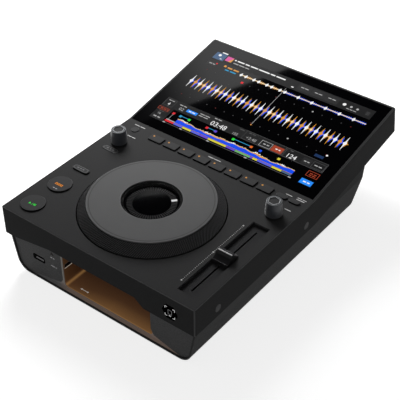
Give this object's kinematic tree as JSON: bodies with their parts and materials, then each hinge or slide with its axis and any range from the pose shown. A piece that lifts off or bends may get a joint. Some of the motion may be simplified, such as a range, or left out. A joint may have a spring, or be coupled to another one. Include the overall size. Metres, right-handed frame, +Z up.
{
  "type": "tabletop dj media player",
  "caption": "Flat desk-top DJ media player: bent slab with a tilted touch screen, a large jog dial, dials, press buttons and a tempo slider on a tapered base.",
  "frame": {"origin": "under the middle of the footprint, at the feet's resting plane", "axes": "+X to the user's right, +Y from the front edge to the screen's far edge, +Z up"},
  "size_m": [0.32, 0.4698, 0.1431],
  "materials": {
    "deck_grey": "fine satin",
    "base_grey": "fine texture",
    "plate_grey": "fine texture",
    "bronze": "satin bronze",
    "socket_steel": "plated",
    "socket_gold": "plated",
    "lamp": "clear lamp",
    "window_black": "gloss black",
    "plug_grey": "satin",
    "screen_glass": "gloss black glass",
    "jog_glass": "gloss black glass",
    "screen_panel": "lit panel",
    "bracket_steel": "plated",
    "panel_steel": "black paint",
    "inner_plastic": "black",
    "bush_plastic": "natural",
    "circuit_green": "circuit board",
    "ring_black": "black",
    "plate_aluminium": "bead blasted grey",
    "code_disc": "plain",
    "encoder_metal": "plated",
    "shaft_steel": "turned",
    "knob_grey": "satin",
    "trough_black": "satin black",
    "cap_black": "satin",
    "key_black": "satin black",
    "key_grey": "satin",
    "pad_grey": "satin",
    "brass_standoff": "turned",
    "screw_steel": "black plated",
    "foot_rubber": "matt"
  },
  "bodies": {
    "housing": {"deck_shell": "deck_grey", "base_shell": "base_grey", "front_plate_left": "plate_grey", "front_plate_right": "plate_grey", "recess_tray": "bronze", "usb_a_socket": "socket_steel", "front_port_socket": "socket_steel", "port_indicator": "lamp", "icon_window": "window_black", "side_plugs": "plug_grey", "display_glass": "screen_glass", "display_panel": "screen_panel", "display_bracket": "bracket_steel", "jog_post": "inner_plastic", "jog_bush": "bush_plastic", "jog_window": "jog_glass", "jog_display": "screen_panel", "jog_pan": "inner_plastic", "jog_sensor": "circuit_green", "left_button_board": "circuit_green", "top_button_board": "circuit_green", "left_encoder": "encoder_metal", "right_encoder": "encoder_metal", "slider_trough": "trough_black", "slider_unit": "bracket_steel", "main_board": "circuit_green", "power_board": "circuit_green", "board_standoffs": "brass_standoff", "base_screws": "screw_steel", "rubber_feet": "foot_rubber", "rear_panel": "panel_steel", "power_inlet": "inner_plastic", "rca_sockets": "socket_gold", "data_sockets": "socket_steel"},
    "jog": {"jog_ring": "ring_black", "jog_plate": "plate_aluminium", "jog_encoder_disc": "code_disc"},
    "tempo": {"tempo_cap": "cap_black", "tempo_carriage": "bush_plastic"},
    "left_press": {"left_shaft": "shaft_steel"},
    "left_dial": {"left_knob": "knob_grey"},
    "right_press": {"right_shaft": "shaft_steel"},
    "right_dial": {"right_knob": "knob_grey"},
    "power_key": {"power_button": "key_grey"},
    "play_button_key": {"play_button": "key_black"},
    "cue_button_key": {"cue_button": "key_black"},
    "loop_button_key": {"loop_button": "key_grey"},
    "sync_button_key": {"sync_button": "key_grey"},
    "source_button_key": {"source_button": "key_grey"},
    "hot_cue_1_key": {"hot_cue_1": "pad_grey"},
    "hot_cue_2_key": {"hot_cue_2": "pad_grey"},
    "hot_cue_3_key": {"hot_cue_3": "pad_grey"},
    "hot_cue_4_key": {"hot_cue_4": "pad_grey"},
    "hot_cue_5_key": {"hot_cue_5": "pad_grey"},
    "hot_cue_6_key": {"hot_cue_6": "pad_grey"},
    "hot_cue_7_key": {"hot_cue_7": "pad_grey"},
    "hot_cue_8_key": {"hot_cue_8": "pad_grey"},
    "back_button_key": {"back_button": "key_grey"},
    "menu_button_key": {"menu_button": "key_grey"}
  },
  "joints": [
    {"name": "jog_spin", "type": "hinge", "parent": "housing", "child": "jog", "pos_m": [0, -0.11923, 0.106], "axis": [0, 0, 1], "continuous": true},
    {"name": "play_button_press", "type": "slide", "parent": "housing", "child": "play_button_key", "axis": [0, 0, -1], "range_m": [0, 0.0012], "stiffness_N_per_m": 500, "springref_m": -0.001},
    {"name": "cue_button_press", "type": "slide", "parent": "housing", "child": "cue_button_key", "axis": [0, 0, -1], "range_m": [0, 0.0012], "stiffness_N_per_m": 500, "springref_m": -0.001},
    {"name": "loop_button_press", "type": "slide", "parent": "housing", "child": "loop_button_key", "axis": [0, 0, -1], "range_m": [0, 0.0012], "stiffness_N_per_m": 500, "springref_m": -0.001},
    {"name": "sync_button_press", "type": "slide", "parent": "housing", "child": "sync_button_key", "axis": [0, 0, -1], "range_m": [0, 0.0012], "stiffness_N_per_m": 500, "springref_m": -0.001},
    {"name": "source_button_press", "type": "slide", "parent": "housing", "child": "source_button_key", "axis": [0, 0, -1], "range_m": [0, 0.0012], "stiffness_N_per_m": 500, "springref_m": -0.001},
    {"name": "hot_cue_1_press", "type": "slide", "parent": "housing", "child": "hot_cue_1_key", "axis": [0, 0, -1], "range_m": [0, 0.0012], "stiffness_N_per_m": 500, "springref_m": -0.001},
    {"name": "hot_cue_2_press", "type": "slide", "parent": "housing", "child": "hot_cue_2_key", "axis": [0, 0, -1], "range_m": [0, 0.0012], "stiffness_N_per_m": 500, "springref_m": -0.001},
    {"name": "hot_cue_3_press", "type": "slide", "parent": "housing", "child": "hot_cue_3_key", "axis": [0, 0, -1], "range_m": [0, 0.0012], "stiffness_N_per_m": 500, "springref_m": -0.001},
    {"name": "hot_cue_4_press", "type": "slide", "parent": "housing", "child": "hot_cue_4_key", "axis": [0, 0, -1], "range_m": [0, 0.0012], "stiffness_N_per_m": 500, "springref_m": -0.001},
    {"name": "hot_cue_5_press", "type": "slide", "parent": "housing", "child": "hot_cue_5_key", "axis": [0, 0, -1], "range_m": [0, 0.0012], "stiffness_N_per_m": 500, "springref_m": -0.001},
    {"name": "hot_cue_6_press", "type": "slide", "parent": "housing", "child": "hot_cue_6_key", "axis": [0, 0, -1], "range_m": [0, 0.0012], "stiffness_N_per_m": 500, "springref_m": -0.001},
    {"name": "hot_cue_7_press", "type": "slide", "parent": "housing", "child": "hot_cue_7_key", "axis": [0, 0, -1], "range_m": [0, 0.0012], "stiffness_N_per_m": 500, "springref_m": -0.001},
    {"name": "hot_cue_8_press", "type": "slide", "parent": "housing", "child": "hot_cue_8_key", "axis": [0, 0, -1], "range_m": [0, 0.0012], "stiffness_N_per_m": 500, "springref_m": -0.001},
    {"name": "back_button_press", "type": "slide", "parent": "housing", "child": "back_button_key", "axis": [0, 0, -1], "range_m": [0, 0.0012], "stiffness_N_per_m": 500, "springref_m": -0.001},
    {"name": "menu_button_press", "type": "slide", "parent": "housing", "child": "menu_button_key", "axis": [0, 0, -1], "range_m": [0, 0.0012], "stiffness_N_per_m": 500, "springref_m": -0.001},
    {"name": "left_dial_press", "type": "slide", "parent": "housing", "child": "left_press", "axis": [0, 0, -1], "range_m": [0, 0.0006], "stiffness_N_per_m": 1500, "springref_m": -0.001},
    {"name": "left_dial_turn", "type": "hinge", "parent": "left_press", "child": "left_dial", "pos_m": [-0.13, -0.03493, 0.116], "axis": [0, 0, 1], "continuous": true},
    {"name": "right_dial_press", "type": "slide", "parent": "housing", "child": "right_press", "axis": [0, 0, -1], "range_m": [0, 0.0006], "stiffness_N_per_m": 1500, "springref_m": -0.001},
    {"name": "right_dial_turn", "type": "hinge", "parent": "right_press", "child": "right_dial", "pos_m": [0.1332, -0.03493, 0.116], "axis": [0, 0, 1], "continuous": true},
    {"name": "tempo_slide", "type": "slide", "parent": "housing", "child": "tempo", "axis": [0, 1, 0], "range_m": [-0.06, 0.06]},
    {"name": "power_press", "type": "slide", "parent": "housing", "child": "power_key", "axis": [0, -0.9836, 0.1805], "range_m": [0, 0.0012], "stiffness_N_per_m": 500, "springref_m": -0.001}
  ]
}
